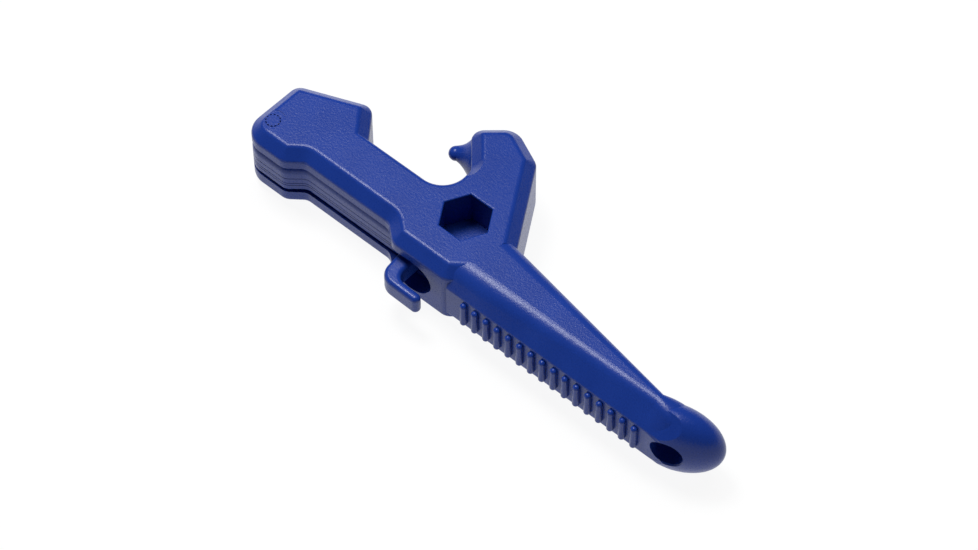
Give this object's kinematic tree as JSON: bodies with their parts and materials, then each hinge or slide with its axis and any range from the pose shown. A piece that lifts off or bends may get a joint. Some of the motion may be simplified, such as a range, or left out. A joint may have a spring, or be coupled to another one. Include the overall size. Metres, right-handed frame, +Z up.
{
  "type": "hand lever tool with folding arm",
  "caption": "Moulded hand lever with a toothed claw, a hexagon socket, a ribbed grip, a lanyard hole and a fold-out arm ending in a finger hook.",
  "frame": {"origin": "middle of the footprint on the bottom face", "axes": "+X from the head to the tail, +Y towards the claw, +Z up through the thickness, parallel to the arm's pivot"},
  "size_m": [0.2092, 0.0738, 0.0306],
  "materials": {
    "moulding": "fine texture",
    "arm": "fine texture",
    "pin": "satin",
    "washer": "smooth"
  },
  "bodies": {
    "lever": {"body": "moulding", "pivot_pin": "pin", "washer_lower": "washer", "washer_upper": "washer"},
    "arm": {"fold_arm": "arm"}
  },
  "joints": [
    {"name": "arm_fold", "type": "hinge", "parent": "lever", "child": "arm", "pos_m": [-0.09755, -0.0169, 0.0153], "axis": [0, 0, -1], "range_deg": [0, 180]}
  ]
}
